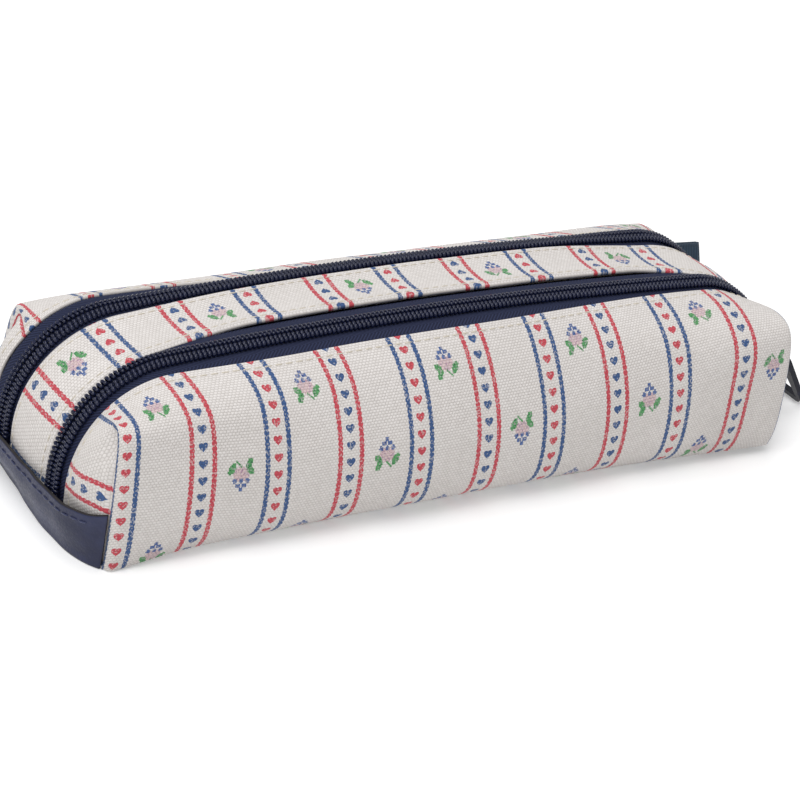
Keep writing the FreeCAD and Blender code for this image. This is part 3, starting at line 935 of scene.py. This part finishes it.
_, heart_v = offset_in_repeat(printed, v, HEART_PITCH)
hx = printed.math("ABSOLUTE", printed.over(du, 1.28))
hy = printed.minus(0.20, printed.over(heart_v, 1.02))
lobe = printed.minus(hy, printed.times(printed.math("SQRT", hx), 0.80))
x2, y2 = (printed.times(a, a) for a in (hx, lobe))
heart = printed.math("LESS_THAN", printed.plus(x2, y2), 1.0)
stripe_line = printed.mix(odd, RED, BLUE)
stripe_heart = printed.mix(odd, BLUE, RED)

# %% [markdown]
# A sprig is a small pyramid of blue buds over a round pale pink middle, with three leaves and a
# short stem below.  Some sprigs stand on their heads, as they do on most small floral prints.

# %% Print: sprigs
SPRIG_PITCH = 41.0
gap = printed.math("FLOOR", printed.over(u, STRIPE_PITCH))
gap_middle = printed.times(printed.plus(gap, 0.5), STRIPE_PITCH)
even = printed.minus(1.0, printed.math("PINGPONG", gap, 1.0))
first_v = printed.plus(9.0, printed.times(even, SPRIG_PITCH / 2))
_, sprig_v = offset_in_repeat(printed, printed.minus(v, first_v), SPRIG_PITCH)
fourth = printed.math("LESS_THAN", printed.math("FLOORED_MODULO", gap, 4.0), 0.5)
upright = printed.minus(1.0, printed.times(fourth, 2.0))
sprig = printed.node("ShaderNodeCombineXYZ", {
    0: printed.times(stepped(printed.minus(u, gap_middle)), upright),
    1: printed.times(stepped(sprig_v), upright)})


def ellipse(x, y, half_width, half_length, turn):
    """1 inside an ellipse turned by this many degrees, 0 outside it."""
    local = printed.node("ShaderNodeMapping", {
        "Vector": sprig, "Location": (x, y, 0), "Rotation": (0, 0, math.radians(turn)),
        "Scale": (half_width, half_length, 1)}, vector_type="TEXTURE")
    return printed.math("LESS_THAN", printed.vector("LENGTH", local, output="Value"), 1.0)


buds = []
for count, height in ((3, -1.5), (2, -2.7), (1, -3.8)):
    for k in range(count):
        buds.append(ellipse((k - (count - 1) / 2) * 1.75, height, 0.66, 0.62, 0))
blossom = printed.any(*buds)
middle = ellipse(0, 0.3, 2.3, 1.9, 0)
leaves = printed.any(ellipse(-2.5, 1.3, 0.85, 1.5, -40), ellipse(-2.2, 3.0, 0.78, 1.5, 26),
                     ellipse(2.6, 1.7, 0.88, 1.7, 32), ellipse(0.7, 2.9, 0.32, 1.2, -45))
speck = printed.node("ShaderNodeTexWhiteNoise", {"Vector": snapped})
vein = printed.math("GREATER_THAN", speck, 0.72)
ground = srgb(233, 228, 225)
ink = printed.mix(line, ground, stripe_line)
ink = printed.mix(heart, ink, stripe_heart)
ink = printed.mix(middle, ink, printed.mix(vein, srgb(222, 198, 200), srgb(184, 150, 172)))
ink = printed.mix(blossom, ink, printed.mix(vein, srgb(92, 116, 168), srgb(58, 78, 140)))
ink = printed.mix(leaves, ink, printed.mix(vein, srgb(96, 164, 106), srgb(52, 122, 78)))
worn = printed.both(printed.math("GREATER_THAN", speck, 0.80), 0.42)
printed.put(result["Color"], printed.mix(worn, ink, ground))
printed.put(result["Ink"], printed.any(line, heart, middle, blossom, leaves))

# %% [markdown]
# The canvas carries the print.  Between the yarns the cloth is in shade, so the low parts of the
# weave are a little darker and warmer, and no two yarns have quite the same tone.

# %% Canvas
canvas, tree, shader = material("printed_canvas", 0.82, Sheen_Weight=0.12, Specular_IOR_Level=0.25)
place = cloth_mm(tree)
height, yarn_tone = use_group(tree, weave, place)
colour, ink_mask = use_group(tree, printed, place)
deep = tree.between(height, 0.15, 0.75, 0.80, 1.0)
tone_with_shade = tree.times(deep, tree.between(yarn_tone, 0.0, 1.0, 0.955, 1.02))
cloud = tree.between(tree.noise(place, 0.035), 0.3, 0.7, 0.97, 1.01)
tone_with_shade = tree.times(tone_with_shade, cloud)
shade = tree.node("ShaderNodeCombineXYZ", {0: tone_with_shade, 1: tree.math("POWER", tone_with_shade, 1.06),
                                           2: tree.math("POWER", tone_with_shade, 1.14)})
tree.put(shader.inputs["Base Color"], tree.node(
    "ShaderNodeMix", {0: 1.0, 6: colour, 7: shade}, 2, data_type="RGBA", blend_type="MULTIPLY"))
tree.put(shader.inputs["Roughness"], tree.between(ink_mask, 0.0, 1.0, 0.84, 0.74))
bump(tree, shader, height, 0.20, 0.7)

# %% [markdown]
# Zip tape is a fine navy herringbone: slanting ribs that change direction every 2.4 mm.

# %% Zip tape
tape_cloth, tree, shader = material("herringbone_tape", 0.8, Specular_IOR_Level=0.2)
place = cloth_mm(tree)
u, v, _ = tree.split(place)
slant = tree.math("PINGPONG", v, 2.4)
rib = tree.wave(tree.plus(u, slant), 1.05)
thread = tree.noise(tree.vector("MULTIPLY", place, (2.6, 2.6, 1.0)), 1.0)
# The colour follows the ribs, darker in the grooves between them and lighter on their tops: painted shade,
# over a random tone of the threads.
tone_with_shade = tree.plus(tree.times(rib, 0.65), tree.times(thread, 0.35))
colour_between(tree, shader, tone_with_shade, srgb(17, 21, 40), srgb(50, 57, 88))
bump(tree, shader, rib, 0.16, 0.8)

# %% [markdown]
# The coil is dyed nylon: smooth, nearly black, with a bright highlight on every bead.  The enamel
# of sliders, pulls and stops is close to it, with a faint orange peel and duller worn spots.

# %% Coil and enamel
nylon, tree, shader = material("coil_nylon", 0.24, Specular_IOR_Level=0.5)
place = object_mm(tree)
tint = tree.noise(place, 0.45, 3.0)
colour_between(tree, shader, tint, srgb(11, 16, 40), srgb(25, 33, 68))
tree.put(shader.inputs["Roughness"], tree.between(tint, 0.3, 0.7, 0.14, 0.24))
bump(tree, shader, tree.noise(place, 3.0), 0.03, 0.4)


def enamel(name, dark, light):
    """Painted metal: orange peel at half a millimetre, and rubbed spots a few millimetres wide."""
    made, tree, shader = material(name, 0.38, Specular_IOR_Level=0.16)
    place = object_mm(tree)
    rubbed = tree.between(tree.noise(place, 0.35, 4.0), 0.55, 0.72)
    colour_between(tree, shader, rubbed, dark, light)
    tree.put(shader.inputs["Roughness"], tree.between(rubbed, 0.0, 1.0, 0.28, 0.48))
    bump(tree, shader, tree.noise(place, 2.0), 0.02, 0.35)
    return made


slider_enamel = enamel("slider_enamel", srgb(22, 25, 44), srgb(40, 45, 68))
pull_enamel = enamel("pull_enamel", srgb(20, 22, 36), srgb(38, 41, 58))
stop_enamel = enamel("stop_enamel", srgb(20, 24, 44), srgb(46, 52, 78))

# %% [markdown]
# The patches are smooth navy leather with a fine pebble, broad soft creases and a low shine.  The
# cut edge shows the dark core of the leather.

# %% Leather
leather, tree, shader = material("navy_leather", 0.36, Specular_IOR_Level=0.4)
place = object_mm(tree)
pebble = tree.node("ShaderNodeTexVoronoi", {"Vector": place, "Scale": 1.5}, "Distance")
crease = tree.noise(tree.vector("MULTIPLY", place, (1.0, 0.35, 1.0)), 0.16, 4.0)
# The colour follows the creases, darker in their hollows and lighter on their ridges: painted shade and
# painted light.
colour_between(tree, shader, tree.between(crease, 0.3, 0.7), srgb(26, 31, 60), srgb(40, 46, 80))
tree.put(shader.inputs["Roughness"], tree.between(pebble, 0.0, 0.8, 0.32, 0.46))
height = tree.plus(tree.times(pebble, 0.12), crease)
bump(tree, shader, height, 0.8, 0.45)
core, tree, shader = material("leather_core", 0.85)
place = object_mm(tree)
fibre = tree.noise(place, 2.2, 4.0)
colour_between(tree, shader, fibre, srgb(20, 20, 24), srgb(52, 48, 48))
bump(tree, shader, fibre, 0.15, 0.6)

# %% [markdown]
# The tab is a ribbed teal ribbon with a denser edge, the linings are a plain fine cotton, and the
# thread is two-ply, so its highlight winds round it.

# %% Ribbon, lining and thread
ribbon, tree, shader = material("teal_ribbon", 0.55, Sheen_Weight=0.15)
place = cloth_mm(tree)
u, v, _ = tree.split(place)
rib = tree.wave(u, 0.55)
rim = tree.any(tree.math("LESS_THAN", v, 0.9), tree.math("GREATER_THAN", v, 10.6))
# Darker in the grooves between the ribs: painted shade.
tone_with_shade = tree.times(rib, tree.between(rim, 0.0, 1.0, 1.0, 0.55))
colour_between(tree, shader, tone_with_shade, srgb(13, 36, 56), srgb(27, 64, 90))
bump(tree, shader, rib, 0.12, 0.7)

cotton, tree, shader = material("lining_cotton", 0.85, Sheen_Weight=0.1)
place = cloth_mm(tree)
u, v, _ = tree.split(place)
yarns = [tree.math("SINE", tree.times(a, 2 * math.pi / 0.6)) for a in (u, v)]
plain_weave = tree.plus(0.5, tree.times(tree.both(*yarns), 0.5))
# Darker where the weave is low and lighter where it is high: painted shade between the yarns.
colour_between(tree, shader, plain_weave, srgb(196, 188, 176), srgb(222, 216, 206))
bump(tree, shader, plain_weave, 0.1, 0.5)


def thread_material(name, dark, light):
    """Two plies: the relief winds round the thread every 0.5 mm, and the colour with it, darker in the
    grooves as painted shade and lighter on the plies as painted highlight.
    """
    made, tree, shader = material(name, 0.6, Sheen_Weight=0.2)
    place = object_mm(tree)
    x, y, z = tree.split(place)
    wound = tree.plus(tree.plus(x, y), tree.times(z, 1.6))
    ply = tree.wave(wound, 0.5)
    colour_between(tree, shader, ply, dark, light)
    bump(tree, shader, ply, 0.06, 0.6)
    return made


canvas_thread = thread_material("canvas_thread", srgb(196, 186, 170), srgb(232, 225, 212))
navy_thread = thread_material("navy_thread", srgb(28, 34, 66), srgb(60, 68, 108))

# %% [markdown]
# Every piece gets its finish by what it is.  The zip ends, sliders, bridges and pulls are the
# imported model's own shapes, so they keep their meshes and only take a new material.

# %% Finishes
ending = {"_canvas": canvas, "_tape": tape_cloth, "_coil": nylon, "_patch": leather, "_tab": ribbon,
          "_lining": cotton, "_wall": cotton, "patch_stitches": navy_thread, "_stitches": canvas_thread}
for name, obj in pieces.items():
    finish = next(m for tail, m in ending.items() if name.endswith(tail))
    obj.data.materials.append(finish)
    if finish == leather:
        obj.data.materials.append(core)
kept = {"end_stops": stop_enamel, "slider_body": slider_enamel, "slider_bridge": slider_enamel,
        "pull": pull_enamel}
for name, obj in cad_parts.items():
    finish = next((m for tail, m in kept.items() if name.endswith(tail)), canvas)
    obj.data.materials.clear()
    obj.data.materials.append(finish)
print("finished", len(pieces), "pieces and the kept nodes")

# %% [markdown]
# The stage is a white floor under a white sky, with one large soft lamp over the front left and a
# weaker one behind.  The floor glows a little for the camera only, so it reads as white paper and
# still carries the soft shadow of the case.

# %% Floor, lights and world
corners = np.array(((-3000, -3000, 0), (3000, -3000, 0), (3000, 3000, 0), (-3000, 3000, 0)), float)
floor = make_mesh("floor", corners - np.array((0, 0, 0.02)), [(0, 1, 2, 3)])
paper, tree, shader = material("paper", 0.9, Specular_IOR_Level=0.0)
shader.inputs["Base Color"].default_value = (0.88, 0.88, 0.88, 1)
shader.inputs["Emission Strength"].default_value = 0.30
seen = tree.any(*(tree.node("ShaderNodeLightPath", {}, ray)
                  for ray in ("Is Camera Ray", "Is Glossy Ray", "Is Transmission Ray")))
tree.put(shader.inputs["Emission Color"], tree.mix(seen, (0, 0, 0, 1), (1, 1, 1, 1)))
floor.data.materials.append(paper)

world = bpy.data.worlds.new("studio")
bpy.context.scene.world = world
world.use_nodes = True
world.node_tree.nodes["Background"].inputs["Color"].default_value = (1, 1, 1, 1)
world.node_tree.nodes["Background"].inputs["Strength"].default_value = 0.51


def area_light(name, place, size, power):
    """A square soft lamp that faces the case."""
    data = bpy.data.lights.new(name, "AREA")
    data.size = size
    data.energy = power
    lamp = bpy.data.objects.new(name, data)
    bpy.context.scene.collection.objects.link(lamp)
    lamp.location = place
    lamp.rotation_euler = Vector(place).to_track_quat("Z", "Y").to_euler()
    print("lamp:", name, power, "W")


area_light("key", (-0.62, -0.32, 1.15), 0.8, 7.6)
area_light("fill", (0.1, 0.5, 1.3), 0.8, 5)
bpy.context.scene.view_settings.view_transform = "Standard"
